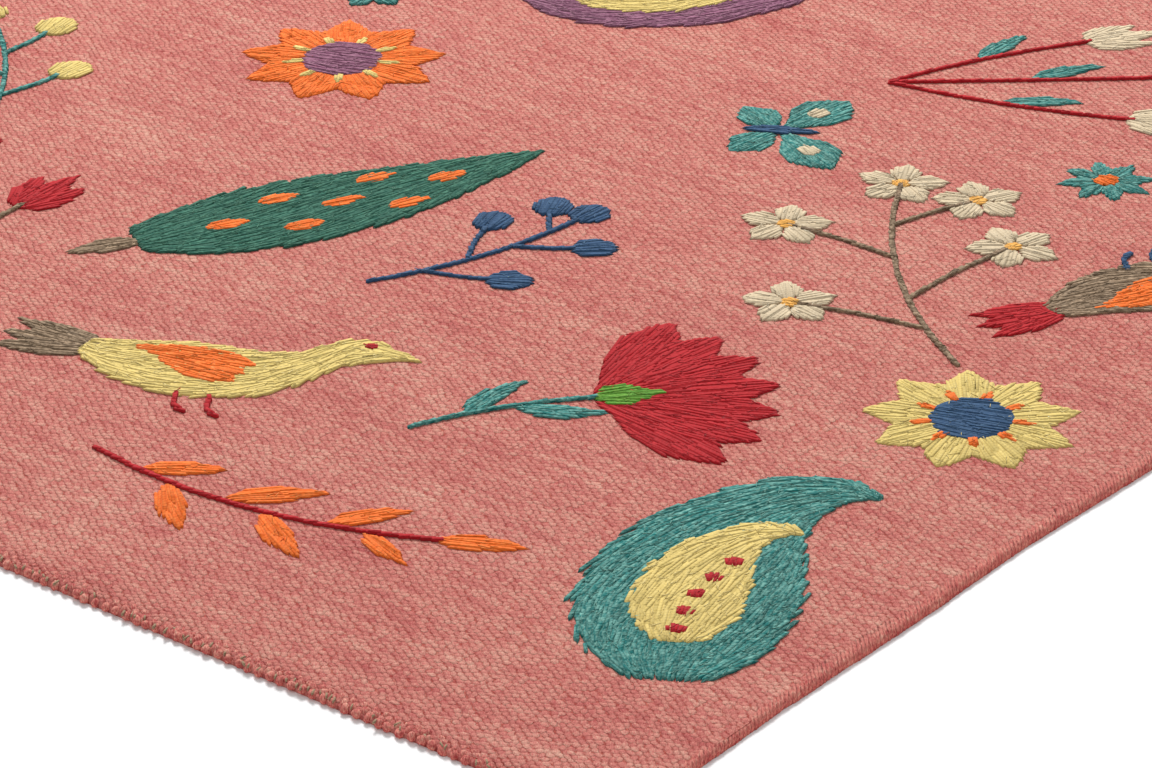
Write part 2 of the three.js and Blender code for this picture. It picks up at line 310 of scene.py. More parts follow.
def pomegranate(s, fruit, heart, wood, blade):
    spine = bent_line(0.44 * s, 20, 4, -0.5 * s)
    patches = [stem(wood, spine)]
    for share, side in ((0.25, 1), (0.5, -1), (0.75, 1)):
        x, y, turn = along(spine, share)
        patches.append(leaf(blade, 0.24 * s, 0.085 * s, x, y, turn + 46 * side, -24 * side))
    radius = 0.2 * s
    turn = spine[-1][2]
    x, y = point_at(*spine[-1], 0.9 * radius)
    for lean in (-24, 0, 24):
        patches.append(leaf(fruit, 1.75 * radius, 0.4 * radius, x, y, turn + lean))
    patches.append(oval(fruit, radius, radius, x, y, turn))
    x, y = point_at(x, y, turn, -0.62 * radius)
    patches.append(leaf(heart, 1.25 * radius, 0.72 * radius, x, y, turn, belly=0.8, layer=1))
    return patches


def cypress(s, flame, lozenge, trunk):
    spine = bent_line(0.86 * s, 16, 8, -0.36 * s)
    patches = [leaf(trunk, 0.17 * s, 0.055 * s, -0.33 * s, 0, 180)]
    patches.append(patch(flame, spine, [half * s for half in CYPRESS_HALVES]))
    for share, side in ((0.15, 0), (0.3, 1), (0.3, -1), (0.42, 0), (0.54, 1), (0.54, -1), (0.68, 0)):
        place = along(spine, share)
        x, y = point_at(*place, 0, 0.065 * s * side)
        patches.append(leaf(lozenge, 0.11 * s, 0.04 * s, x, y, place[2], layer=1))
    return patches


def twigs(s, wood, bend, length, rows, lean, curl):
    """The stem and twigs of a branch, and the places where the twigs end."""
    spine = bent_line(length * s, bend, 6, -0.5 * s)
    patches, ends = [stem(wood, spine)], [spine[-1]]
    for share, side, reach in rows:
        x, y, turn = along(spine, share)
        twig = placed(bent_line(reach * s, curl * side, 2), x, y, turn + lean * side)
        patches.append(stem(wood, twig))
        ends.append(twig[-1])
    return patches, ends


def branch(s, bloom, heart, wood):
    patches, ends = twigs(s, wood, -34, 0.78, FLOWER_TWIGS, 44, 16)
    for x, y, turn in ends:
        for k in range(5):
            patches.append(leaf(bloom, 0.095 * s, 0.062 * s, x, y, turn + 72 * k, belly=1.2, layer=0.5))
        patches.append(oval(heart, 0.02 * s, 0.018 * s, x, y, turn, layer=1))
    return patches


def berries(s, fruit, wood):
    patches, ends = twigs(s, wood, 30, 0.8, BERRY_TWIGS, 52, -20)
    return patches + [oval(fruit, 0.075 * s, 0.06 * s, x, y, turn, layer=0.5) for x, y, turn in ends]


def butterfly(s, wings, spots, body):
    patches = []
    for side in (-1, 1):
        patches.append(leaf(wings, 0.52 * s, 0.3 * s, 0, 0, side * 54, belly=1.3))
        patches.append(leaf(wings, 0.36 * s, 0.22 * s, 0, 0, side * 128, belly=1.2))
        x, y = point_at(0, 0, side * 54, 0.28 * s)
        patches.append(oval(spots, 0.07 * s, 0.05 * s, x, y, side * 54, layer=1))
    patches.append(leaf(body, 0.42 * s, 0.085 * s, -0.2 * s, 0, 0, layer=1))
    return patches


# The front half of the field. The back half is the same, turned half round.
# motif, wools, x, y, turn, size, mirrored
LAYOUT = (
    (paisley, ("teal", "yellow", "red"), 486, -688, 118, 250, True),
    (sprig, ("orange", "red"), 296, -806, -10, 250, False),
    (dove, ("yellow", "orange", "bark", "red"), 160, -690, 20, 230, False),
    (pomegranate, ("orange", "red", "red", "amber"), 30, -800, 150, 220, False),
    (carnation, ("red", "green", "teal"), 318, -570, 70, 210, False),
    (rosette, ("yellow", "navy", "orange"), 500, -480, 0, 120, False),
    (branch, ("cream", "amber", "bark"), 330, -360, 150, 300, False),
    (cypress, ("pine", "orange", "bark"), 74, -500, 60, 300, False),
    (berries, ("navy", "navy"), 200, -470, 60, 190, False),
    (tulips, ("red", "bark", "green"), -110, -640, 110, 240, False),
    (dove, ("bark", "orange", "red", "navy"), 484, -288, 60, 210, True),
    (butterfly, ("teal", "cream", "navy"), 205, -250, 30, 120, False),
    (sprig, ("amber", "red"), 502, -110, 100, 240, True),
    (rosette, ("orange", "purple", "yellow"), -60, -330, 0, 130, False),
    (star, ("teal", "orange"), 390, -190, 0, 60, False),
    (tulips, ("cream", "red", "teal"), 300, -80, 40, 230, False),
    (paisley, ("purple", "yellow", "green"), 40, -130, 30, 210, False),
    (star, ("yellow", "red"), -258, -690, 0, 60, False),
    (berries, ("yellow", "teal"), -212, -436, 120, 210, False),
    (branch, ("teal", "yellow", "red"), -170, -180, 60, 260, False),
    (pomegranate, ("red", "amber", "bark", "green"), -330, -330, 80, 230, True),
    (dove, ("orange", "pine", "pine", "bark"), -330, -566, 0, 240, True),
    (sprig, ("green", "bark"), -420, -760, 20, 260, False),
    (rosette, ("cream", "red", "teal"), -200, -800, 0, 120, False),
    (cypress, ("teal", "amber", "bark"), -480, -160, 100, 270, False),
    (carnation, ("orange", "navy", "navy"), -494, -456, 110, 200, False),
    (star, ("navy", "cream"), -500, -640, 0, 60, False),
)


# Stitches

# The pad under a patch: how high it stands, how much higher under long and short stitches, how much lower
# for wool that is all flecks, how deep its foot lies in the ground, how far the foot stays inside the patch's
# outline, and how far the sides lean in, in millimetres
PAD_HEIGHT = 0.75
PAD_EXTRA = 0.22
PAD_LOOSENESS = 0.8
PAD_SINK = 0.15
PAD_INSET = 1.6
PAD_SLOPE = 1.3

# Places along a patch where its width is looked up for satin stitches
SATIN_MARKS = 24


def rounded(rows, steps=3):
    """The same rows of numbers with smooth rows between them, by a curve through them all."""
    first, last = rows[0], rows[-1]
    before = [tuple(2 * a - b for a, b in zip(first, rows[1]))]
    after = [tuple(2 * a - b for a, b in zip(last, rows[-2]))]
    full = before + list(rows) + after
    smooth = [first]
    for k in range(1, len(full) - 2):
        for step in range(1, steps + 1):
            t = step / steps
            smooth.append(tuple(
                b + t / 2 * (c - a + t * (2 * a - 5 * b + 4 * c - d + t * (3 * (b - c) + d - a)))
                for a, b, c, d in zip(*full[k - 1:k + 3])))
    return smooth


class Band:
    """A patch of embroidery as a band along its spine."""

    def __init__(self, part):
        rows = [(*place, half) for place, half in zip(part["spine"], part["halves"])]
        if part["sewing"] != "stem":
            rows = rounded(rows)
        self.spine = [row[:3] for row in rows]
        self.halves = [max(0.0, row[3]) for row in rows]
        steps = [hypot(b[0] - a[0], b[1] - a[1]) for a, b in zip(self.spine, self.spine[1:])]
        self.starts = [sum(steps[:k]) for k in range(len(steps) + 1)]
        self.length = self.starts[-1]

    def between(self, distance):
        """The row before a distance along the spine, and the share of the way to the next row."""
        distance = held(distance, 0.0, self.length)
        k = min(bisect_right(self.starts, distance), len(self.starts) - 1) - 1
        return k, (distance - self.starts[k]) / (self.starts[k + 1] - self.starts[k])

    def half(self, distance):
        k, f = self.between(distance)
        return self.halves[k] + (self.halves[k + 1] - self.halves[k]) * f

    def at(self, distance, aside):
        """The point at a distance along the spine, aside from -1 to 1 across the band."""
        k, f = self.between(distance)
        x, y, turn = (a + (b - a) * f for a, b in zip(self.spine[k], self.spine[k + 1]))
        reach = self.half(distance) * aside
        return x - sin(radians(turn)) * reach, y + cos(radians(turn)) * reach

    def width(self, low, high):
        ends = [self.at(d, 1) + self.at(d, -1) for d in (low, (low + high) / 2, high)]
        return max(hypot(a[0] - a[2], a[1] - a[3]) for a in ends)

    def outline(self):
        right = [self.at(start, -1) for start in self.starts]
        return right + [self.at(start, 1) for start in reversed(self.starts)]


def inside(point, outline):
    """Whether a point is inside an outline, by the edges that a line to its right crosses."""
    x, y = point
    crossed = False
    for (ax, ay), (bx, by) in zip(outline, outline[1:] + outline[:1]):
        if (ay > y) != (by > y) and x < ax + (bx - ax) * (y - ay) / (by - ay):
            crossed = not crossed
    return crossed


def fill_stitches(band, settings, chance):
    """Long and short stitches that lean across the band and end at its outline, as pairs of ends."""
    bands = max(1, round(band.length / settings.stitch_advance))
    advance = band.length / bands
    for k in range(bands):
        low, high = k * advance, (k + 1) * advance
        width = band.width(low, high)
        slant = min(0.7, 2 * advance * tan(radians(settings.stitch_lean)) / max(width, 0.1))
        rows = max(1, round(width * (1 + slant / 2) / settings.strand_pitch))
        for row in range(rows):
            aside = (1 + slant / 2) * (-1 + (2 * row + 1 + chance.uniform(-0.4, 0.4)) / rows)
            trim = min(1.0, aside ** 2) * chance.uniform(0.0, 0.35) * advance
            start = low - chance.uniform(0.2, 0.85) * advance if k else trim
            stop = high + chance.uniform(0.2, 0.6) * advance if k < bands - 1 else band.length - trim
            edge = chance.uniform(0.93, 1.06)
            enters = max(0.0, (-edge - aside) / slant + 0.5)
            leaves = min(1.0, (edge - aside) / slant + 0.5)
            if leaves - enters > 0.25:
                yield [
                    band.at(start + (stop - start) * share, aside + slant * (share - 0.5))
                    for share in (enters, leaves)]


def satin_stitches(band, settings, chance):
    """Stitches side by side along the band, each as long as the band is there, as pairs of ends."""
    widest = max(band.halves)
    rows = max(2, round(2 * widest / settings.strand_pitch))
    marks = [band.length * k / SATIN_MARKS for k in range(SATIN_MARKS + 1)]
    for row in range(rows):
        offset = widest * held(-1 + (2 * row + 1 + chance.uniform(-0.35, 0.35)) / rows, -1.0, 1.0)
        wide = [mark for mark in marks if band.half(mark) >= 0.97 * abs(offset)] or [band.length / 2]
        fan = 0.1 * band.length * abs(offset) / widest
        low = max(0.0, wide[0] - fan - chance.uniform(0.0, 1.6))
        reach = max(wide[-1], low + 0.3 * band.length)
        uneven = min(2.2, 0.12 * band.length)
        high = min(band.length + 1, reach + chance.uniform(-0.8, 1.0) * uneven)
        pieces = max(1, round((high - low) / settings.satin_length))
        cuts = [low + (high - low) * (k + chance.uniform(-0.3, 0.3)) / pieces for k in range(1, pieces)]
        for start, stop in zip([low] + cuts, [cut + 4 for cut in cuts] + [high]):
            ends = []
            for distance in (start, stop):
                half = max(band.half(distance), 0.01)
                ends.append(band.at(distance, held(offset / half, -1.0, 1.0)))
            yield ends


def stem_stitches(band, settings, chance):
    """Overlapping back stitches that lean across the line of a stem, as pairs of ends."""
    count = max(2, round(band.length / settings.stem_advance))
    advance = band.length / count
    for k in range(count):
        lean = 0.55 + chance.uniform(-0.2, 0.2)
        yield band.at((k - 0.35) * advance, -lean), band.at((k + 1.35) * advance, lean)


SEWING = {"long and short": fill_stitches, "satin": satin_stitches, "stem": stem_stitches}

# How high each kind of stitch stands beside a plain strand, and how far its turn strays, in degrees
FULLNESS = {"long and short": 1.0, "satin": 0.84, "stem": 1.3}
STRAY = {"long and short": 5.5, "satin": 2.2, "stem": 1.5}


def motif_stitches(parts, settings, chance):
    """Each stitch of one motif as its part and two ends, without those wholly under a higher layer."""
    bands = [Band(part) for part in parts]
    covers = [(part["layer"], band.outline()) for band, part in zip(bands, parts) if part["layer"]]
    for band, part in zip(bands, parts):
        sew = SEWING[part["sewing"]]
        above = [outline for layer, outline in covers if layer > part["layer"]]
        for a, b in sew(band, settings, chance):
            if not any(inside(a, outline) and inside(b, outline) for outline in above):
                yield part, a, b


def laid(chance, middle, turn, size, loose=0.0):
    """A strand or lobe to lay, in metres and radians, with a shade of its own."""
    turn = Vector((0, 0, turn))
    return {"middle": middle, "turn": turn, "size": size, "shade": chance.gauss(0, 1), "loose": loose}


def stitch_between(a, b, part, settings, chance):
    """The strand of a stitch from one point to another."""
    run = Vector((b[0] - a[0], b[1] - a[1]))
    full = FULLNESS[part["sewing"]]
    width = settings.strand_width * chance.uniform(0.85, 1.15) * max(full, 1.0)
    height = settings.strand_height * chance.uniform(0.85, 1.1) * full
    middle = ((a[0] + b[0]) / 2, (a[1] + b[1]) / 2)
    lift = settings.overlay_lift * part["layer"] + chance.uniform(-0.13, 0.13)
    return laid(
        chance, Vector((*middle, swell(*middle) + lift)) * MM,
        atan2(run.y, run.x) + radians(chance.gauss(0, STRAY[part["sewing"]])),
        Vector((max(run.length, 3.0), width, height)) * MM)


def loose_fibre(stitch, chance):
    """A fibre that has worked loose from a stitch and lies across it."""
    angle = chance.gauss(0, 30)
    lean = stitch["turn"].z + radians(angle)
    length = chance.uniform(3.5, 8.5)
    slide = Vector((chance.uniform(-0.3, 0.3) * stitch["size"].x, 0, 0))
    slide = Matrix.Rotation(stitch["turn"].z, 3, "Z") @ slide
    middle = stitch["middle"] + slide + Vector((0, 0, 0.85 * stitch["size"].z))
    return laid(chance, middle, lean, Vector((length, 0.58, 0.5)) * MM, loose=1.0)


def placed_motifs():
    """The parts of every motif on both halves of the field, with its place and whether it is mirrored."""
    for motif, wools, x, y, turn, size, mirrored in LAYOUT:
        parts = motif(size, *wools)
        flip = -1 if mirrored else 1
        yield parts, (x, y, turn), flip
        yield parts, (-x, -y, turn + 180), flip


def flipped(point, flip):
    return point[0], flip * point[1]


def all_stitches(settings):
    """Every stitch on the rug, in a list for each wool."""
    stitches = {wool: [] for wool in WOOLS}
    chance = random.Random(11)
    for parts, place, flip in placed_motifs():
        for part, a, b in motif_stitches(parts, settings, chance):
            a, b = (point_at(*place, *flipped(end, flip)) for end in (a, b))
            stitches[part["wool"]].append(stitch_between(a, b, part, settings, chance))
    return stitches


def add_pad(bm, part, place, flip, settings):
    """Adds the low closed pad that fills one patch under its stitches, in millimetres."""
    band = Band(part)
    inner = [start for start in band.starts if PAD_INSET < start < band.length - PAD_INSET]
    stations = [start for start in inner if band.half(start) > 1.4 * PAD_INSET]
    if len(stations) < 2:
        return
    height = PAD_HEIGHT - PAD_LOOSENESS * WOOLS[part["wool"]][2] + settings.overlay_lift * part["layer"]
    if part["sewing"] != "satin":
        height += PAD_EXTRA
    rim = []
    for inset, rise in ((PAD_INSET, -PAD_SINK), (PAD_INSET + PAD_SLOPE, height)):
        rungs = []
        for start in stations:
            start = held(start, inset, band.length - inset)
            share = max(0.15, 1 - inset / max(band.half(start), 0.1))
            rung = []
            for aside in (-share, share):
                x, y = point_at(*place, *flipped(band.at(start, aside), flip))
                rung.append(bm.verts.new((x, y, swell(x, y) + rise)))
            rungs.append(rung)
        strip = [bm.faces.new((a[0], b[0], b[1], a[1])) for a, b in zip(rungs, rungs[1:])]
        rim += {edge for face in strip for edge in face.edges if edge.is_boundary}
    bmesh.ops.bridge_loops(bm, edges=rim)


# Settings


def size_setting(name, description, default, low, high):
    return bpy.props.FloatProperty(
        name=name, description=f"{description}, in millimetres", default=default, min=low, max=high)


def colour_setting(name, description, default):
    return bpy.props.FloatVectorProperty(
        name=name, description=description, subtype="COLOR", size=3, min=0, max=1, default=default)


def wool_colour(wool):
    return colour_setting(f"{wool.capitalize()} wool", f"Colour of the {wool} embroidery", WOOLS[wool][0])


class RugSettings(bpy.types.PropertyGroup):
    """Sizes in millimetres and colours that a user would change."""

    strand_pitch: size_setting("Strand spacing", "Distance between strands side by side", 1.4, 0.8, 4)
    strand_width: size_setting("Strand width", "Width of one embroidery strand", 2.15, 0.8, 4)
    strand_height: size_setting("Strand height", "How far a strand stands over the ground", 1.3, 0.4, 3)
    stitch_advance: size_setting("Stitch length", "Length of each band of long and short stitches", 13, 4, 40)
    stitch_lean: bpy.props.FloatProperty(
        name="Stitch lean", description="How far long and short stitches lean across a patch, in degrees",
        default=20, min=1, max=50)
    satin_length: size_setting("Satin length", "Length of the longest satin stitches", 26, 8, 60)
    stem_advance: size_setting("Stem stitch", "Length that each stem stitch adds", 5.5, 2, 15)
    loose_share: bpy.props.FloatProperty(
        name="Loose fibres", description="Share of the stitches that have a loose fibre across them",
        default=0.45, min=0, max=1, subtype="FACTOR")
    overlay_lift: size_setting("Overlay lift", "How much higher a patch sewn over another lies", 0.45, 0, 2)
    ground_dark: colour_setting("Deep coral", "Darkest weft of the ground", from_srgb(163, 70, 70))
    ground_main: colour_setting("Coral", "Usual weft of the ground", from_srgb(197, 121, 110))
    ground_pale: colour_setting("Pale coral", "Palest weft of the ground", from_srgb(212, 165, 145))
    warp: colour_setting("Warp", "Warp that shows at the ends of the rug", from_srgb(158, 132, 104))
    yellow: wool_colour("yellow")
    teal: wool_colour("teal")
    orange: wool_colour("orange")
    bark: wool_colour("bark")
    red: wool_colour("red")
    navy: wool_colour("navy")
    cream: wool_colour("cream")
    green: wool_colour("green")
    purple: wool_colour("purple")
    pine: wool_colour("pine")
    amber: wool_colour("amber")


# Materials


# From one hump of a strand's twist to the next, in millimetres
TWIST_PITCH = 2.6

# A lobe of the ground's weft: half its length and half its width in millimetres, and its lean in degrees
LOBE_HALF_LENGTH = 2.8
LOBE_HALF_WIDTH = 1.85
LOBE_LEAN = -33

# The ground grows darker over this width, from this far inside each end, in millimetres
SHADE_WIDTH = 8
SHADE_INSET = 13

# The weave turns into wraps over this width, from this far inside the line of a selvedge, in millimetres
TURN_WIDTH = 4.5
TURN_INSET = 5.5


class Value:
    """A socket that shader maths can be written on."""

    def __init__(self, kit, socket):
        self.kit, self.socket = kit, socket

    def math(self, operation, *others):
        return self.kit.math(operation, self, *others)

    def at_least(self, low):
        return self.math("MAXIMUM", low)

    def at_most(self, high):
        return self.math("MINIMUM", high)

    def held(self, low=0.0, high=1.0):
        return self.at_least(low).at_most(high)

    def __add__(self, other):
        return self.math("ADD", other)

    def __sub__(self, other):
        return self.math("SUBTRACT", other)

    def __rsub__(self, other):
        return self.kit.math("SUBTRACT", other, self)

    def __mul__(self, other):
        return self.math("MULTIPLY", other)

    def __truediv__(self, other):
        return self.math("DIVIDE", other)

    def __pow__(self, other):
        if other == 2:
            return self * self
        return self.math("POWER", other)

    __radd__ = __add__
    __rmul__ = __mul__


class Finish:
    """A material under construction, with one method for every kind of node."""

    def __init__(self, name):
        self.material = bpy.data.materials.new(name)
        self.material.use_nodes = True
        self.tree = self.material.node_tree
        self.shader = self.tree.nodes["Principled BSDF"]

    def node(self, kind, settings=None, **inputs):
        made = self.tree.nodes.new(kind)
        for key, value in (settings or {}).items():
            setattr(made, key, value)
        for key, value in inputs.items():
            self.feed(made.inputs[key.replace("_", " ")], value)
        return made

    def feed(self, socket, value):
        if isinstance(value, Value):
            value = value.socket
        if isinstance(value, bpy.types.NodeSocket):
            self.tree.links.new(value, socket)
        else:
            socket.default_value = value

    def place(self):
        """Where a point of the surface lies on the rug, in millimetres."""
        return [axis * (1 / MM) for axis in self.split(self.node("ShaderNodeTexCoord").outputs["Object"])]

    def attribute(self, name):
        return Value(self, self.node("ShaderNodeAttribute", {"attribute_name": name}).outputs["Fac"])

    def math(self, operation, *values):
        made = self.node("ShaderNodeMath", {"operation": operation})
        for socket, value in zip(made.inputs, values):
            self.feed(socket, value)
        return Value(self, made.outputs[0])

    def split(self, vector):
        made = self.node("ShaderNodeSeparateXYZ", Vector=vector)
        return [Value(self, made.outputs[k]) for k in range(3)]

    def join(self, x, y, z=0.0):
        return self.node("ShaderNodeCombineXYZ", X=x, Y=y, Z=z).outputs[0]

    def noise(self, x, y, z, detail=2.0):
        made = self.node("ShaderNodeTexNoise", Vector=self.join(x, y, z), Scale=1.0, Detail=detail)
        return Value(self, made.outputs["Fac"])

    def mix(self, factor, a, b, blend="MIX"):
        """A mix of two colours, which are sockets 6 and 7 of the node."""
        made = self.node("ShaderNodeMix", {"data_type": "RGBA", "blend_type": blend})
        self.feed(made.inputs["Factor"], factor)
        self.feed(made.inputs[6], a)
        self.feed(made.inputs[7], b)
        return made.outputs[2]

    def ramp(self, factor, stops):
        made = self.node("ShaderNodeValToRGB", Fac=factor)
        points = made.color_ramp.elements
        while len(points) < len(stops):
            points.new(1.0)
        for point, (place, colour) in zip(points, stops):
            point.position, point.color = place, (*colour, 1)
        return made.outputs[0]

    def shaded(self, colour, factor):
        """A colour made darker or lighter by a factor."""
        grey = self.node("ShaderNodeCombineColor", Red=factor, Green=factor, Blue=factor).outputs[0]
        return self.mix(1.0, colour, grey, "MULTIPLY")

    def bump(self, height, distance):
        return self.node("ShaderNodeBump", Height=height, Distance=distance, Strength=1.0).outputs[0]

    def wool(self, colour, normal, sheen=0.1):
        """Ends the material as matt wool with a soft nap."""
        self.feed(self.shader.inputs["Base Color"], colour)
        self.feed(self.shader.inputs["Normal"], normal)
        self.shader.inputs["Roughness"].default_value = 0.95
        self.shader.inputs["Specular IOR Level"].default_value = 0.12
        self.shader.inputs["Sheen Weight"].default_value = sheen
        self.shader.inputs["Sheen Roughness"].default_value = 0.5
        return self.material


def rgba(colour):
    return (*colour, 1.0)


def coral(kit, settings, tone):
    """The coral wool from its darkest to its palest, about a tone of one half."""
    shades = settings.ground_dark, settings.ground_main, settings.ground_pale
    return kit.ramp(tone, list(zip((0.1, 0.5, 0.9), shades)))


def weft_lobes(kit, x, y, shift):
    """One of a plain weave's two lattices of lobes: height, chance, and place along and across the lobe."""
    column = x / (2 * WARP_PITCH) + shift
    row = y / (2 * PICK_PITCH) + shift
    column_number, row_number = column.math("FLOOR"), row.math("FLOOR")
    cell = kit.node("ShaderNodeTexWhiteNoise", {"noise_dimensions": "2D"},
                    Vector=kit.join(column_number + 71 * shift, row_number))
    chance = Value(kit, cell.outputs["Value"])
    push, pull, swing = kit.split(cell.outputs["Color"])
    across = (column - column_number - 0.5) * (2 * WARP_PITCH) + (push - 0.5) * 1.3
    up = (row - row_number - 0.5) * (2 * PICK_PITCH) + (pull - 0.5) * 0.9
    lean = radians(LOBE_LEAN)
    run = across * cos(lean) + up * sin(lean)
    beside = up * cos(lean) - across * sin(lean) + run * (swing - 0.5) * 0.3
    wear = kit.noise(x * 0.8, y * 0.8, 31.0) - 0.5
    hump = 1 - (run / LOBE_HALF_LENGTH) ** 2 - (beside / LOBE_HALF_WIDTH) ** 2 + wear * 0.9
    return hump.at_least(0.0) * (chance * 0.5 + 0.7), chance, run, beside


def weave_look(kit, settings, x, y):
    """Weft-faced plain weave, two lattices of leaning lobes, one between the other: its colour and relief."""
    drift = kit.noise(x * 0.012, y * 0.012, 3.0) - 0.5
    shake_x = kit.noise(x * 0.1, y * 0.1, 9.0) - 0.5
    shake_y = kit.noise(x * 0.1, y * 0.1, 14.0) - 0.5
    bent_x = x + shake_x * 4.0
    bent_y = y + drift * 8.0 + shake_y * 3.4
    first, chance, run, beside = weft_lobes(kit, bent_x, bent_y, 0.0)
    second, other, _, _ = weft_lobes(kit, bent_x, bent_y, 0.5)
    is_first = first.math("GREATER_THAN", second)
    height = first.at_least(second)
    chance = other + (chance - other) * is_first
    fibre = kit.noise(run * 0.6 + chance * 9.0, beside * 2.4 + run * 0.5, y * 0.2, detail=4.0)
    # Patches where the painted shade in the gaps between lobes is deeper
    gap_shade_patches = kit.noise(x * 0.45, y * 0.45, 51.0, detail=1.0)
    streak = kit.noise(x * 0.016, bent_y * 0.22, 1.0, detail=3.0)
    cloud = kit.noise(x * 0.007, y * 0.02, 5.0, detail=3.0)
    rim = (y.math("ABSOLUTE") - (HALF_LENGTH - SHADE_INSET)).held(0.0, SHADE_WIDTH) * (1 / SHADE_WIDTH)
    tone = (chance - 0.5) * 0.24 + (fibre - 0.5) * 1.15 + (streak - 0.5) * 0.6 + (cloud - 0.5) * 0.4 + 0.5
    # Painted shade: the colour is darkened and reddened in the gaps between the lobes, more in patches and
    # towards the ends
    open_gap = 1 - (height * 2.0).at_most(1.0)
    gap_shade_depth = ((gap_shade_patches - 0.36) * 5.0).held(0.15, 1.1)
    painted_gap_shade = kit.mix(open_gap * gap_shade_depth * (rim * 0.3 + 0.7), (1, 1, 1, 1), (0.62, 0.22, 0.17, 1))
    colour = kit.mix(1.0, coral(kit, settings, tone - rim * 0.12), painted_gap_shade, "MULTIPLY")
    return colour, height ** 0.7 + fibre * 0.5


def ground_finish(settings):
    kit = Finish("coral_weave")
    x, y, _ = kit.place()
    colour, relief = weave_look(kit, settings, x, y)
    return kit.wool(colour, kit.bump(relief, 0.9 * MM), sheen=0.03)


def strand_finish(name, colour, fleck, share):
    """Two-ply wool whose twist and fibres follow each strand."""
    kit = Finish(name)
    around, run, _ = kit.split(kit.node("ShaderNodeUVMap", {"uv_map": "strand"}).outputs[0])
    shade = kit.attribute("shade")
    loose = kit.attribute("loose")
    size = kit.node("ShaderNodeAttribute", {"attribute_name": "size"}).outputs["Vector"]
    length, _, _ = kit.split(size)
    distance = run * length * (1 / MM)
    twist = (distance / TWIST_PITCH + around * 1.5) * (2 * pi)
    ply = twist.math("SINE") * 0.5 + 0.5
    fibre = kit.noise(distance * 0.3 + around * 1.5, around * 5.0, shade * 7.0, detail=3.0)
    light = kit.noise(distance * 0.19, around * 2.0, shade * 3.0)
    # Dark spots along a strand, so that each stitch reads as shorter ones: they lower its relief and, as
    # painted shade, darken its colour
    shaded_dip = ((kit.noise(distance * 0.3, shade * 11.0, 4.0) - 0.56) * 6).held()
    hair = ((fibre - 0.5) * 3.4 + 0.45 + (light - 0.5) * 1.2).held()
    coarse = 0.25 + 1.8 * share
    pale = (hair * (2 * share) + loose * (0.55 + share + shade * 0.35)).held()
    tint = kit.mix(pale, rgba(colour), rgba(fleck))
    # The troughs of the twist between the plies darken the colour a little, as painted shade
    value = (shade * (0.11 * coarse) + 0.99 + (light - 0.5) * (0.4 * coarse)) * (ply * 0.08 + 0.94)
    relief = ply * 0.5 + fibre * 1.2 - shaded_dip * 1.2
    # Painted shade in the dips
    tone = value * (1 - shaded_dip * (0.26 * coarse))
    return kit.wool(kit.shaded(tint, tone), kit.bump(relief, 0.38 * coarse * MM), sheen=0.05)


def wrapped_look(kit, settings, contrast, x, y, z):
    """The coral wool of the edges, redder towards the floor by painted shade and lighter there by painted
    light: its colour and relief.
    """
    along, across = (x - y) * 0.7, (x + y) * 0.7
    fine = kit.noise(along * 0.4, across * 1.5, z * 0.9, detail=3.0)
    patchy = kit.noise(x * 0.16, y * 0.16, z * 0.3)
    # How near the floor a point lies, which drives the painted shade and painted light below
    low = (1 - z * (1 / 6)).at_least(0.0)
    # Painted shade: the tone turns darker and redder towards the floor
    tone = (fine - 0.5) * (1.7 * contrast) + (patchy - 0.5) * contrast + 0.53 - low * 0.18
    # Painted shade: a warm red tint towards the floor, where the sides lie in shade
    painted_warm_shade = kit.mix(low, (1, 1, 1, 1), (1, 0.76, 0.72, 1))
    colour = kit.mix(1.0, coral(kit, settings, tone), painted_warm_shade, "MULTIPLY")
    # Painted light: the colour is lightened towards the floor, where the sides face away from the lamps
    return kit.shaded(colour, low * 0.48 + 1), fine * (1.4 * contrast)


def end_finish(settings):
    kit = Finish("coral_end")
    colour, relief = wrapped_look(kit, settings, 1.0, *kit.place())
    return kit.wool(colour, kit.bump(relief, MM), sheen=0.03)


def selvedge_finish(settings):
    """The weave of the ground, which turns into wraps over the edge warp."""
    kit = Finish("coral_selvedge")
    x, y, z = kit.place()
    woven, lobes = weave_look(kit, settings, x, y)
    wrapped, fibres = wrapped_look(kit, settings, 0.82, x, y, z)
    out = x.math("ABSOLUTE") - (SELVEDGE_X - TURN_INSET)
    for height, length, lead in SELVEDGE_WAVES:
        out = out - (y * (2 * pi / length) + x.math("SIGN") * lead).math("SINE") * height
    turned = (out * (1 / TURN_WIDTH)).held()
    relief = lobes * 0.9 * (1 - turned) + fibres * turned
    return kit.wool(kit.mix(turned, woven, wrapped), kit.bump(relief, MM), sheen=0.03)


def plain_finish(name, colour):
    """One colour of wool with fibres all ways."""
    kit = Finish(name)
    x, y, z = kit.place()
    fine = kit.noise(x * 1.5, y * 1.5, z * 1.5, detail=3.0)
    return kit.wool(kit.shaded(rgba(colour), fine * 0.8 + 0.6), kit.bump(fine, 0.6 * MM))


# Pieces


def mesh_of(name, bm):
    """The mesh that a bmesh holds, after which the bmesh is freed."""
    mesh = bpy.data.meshes.new(name)
    bm.to_mesh(mesh)
    bm.free()
    return mesh


def linked(name, data):
    """A new object that stands in the scene."""
    made = bpy.data.objects.new(name, data)
    bpy.context.collection.objects.link(made)
    return made


def as_piece(name, mesh, material, nodes):
    """A piece that rides on the rug and stands for its nodes."""
    mesh.name = name
    mesh.materials.clear()
    mesh.materials.append(material)
    piece = linked(name, mesh)
    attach(piece, "root")
    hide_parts(*nodes)
    return piece


def finished(name, bm, material, nodes):
    """A smooth piece from a bmesh that is in metres."""
    mesh = mesh_of(name, bm)
    mesh.shade_smooth()
    return as_piece(name, mesh, material, nodes)


def settings_of(context):
    return context.scene.suzani_rug


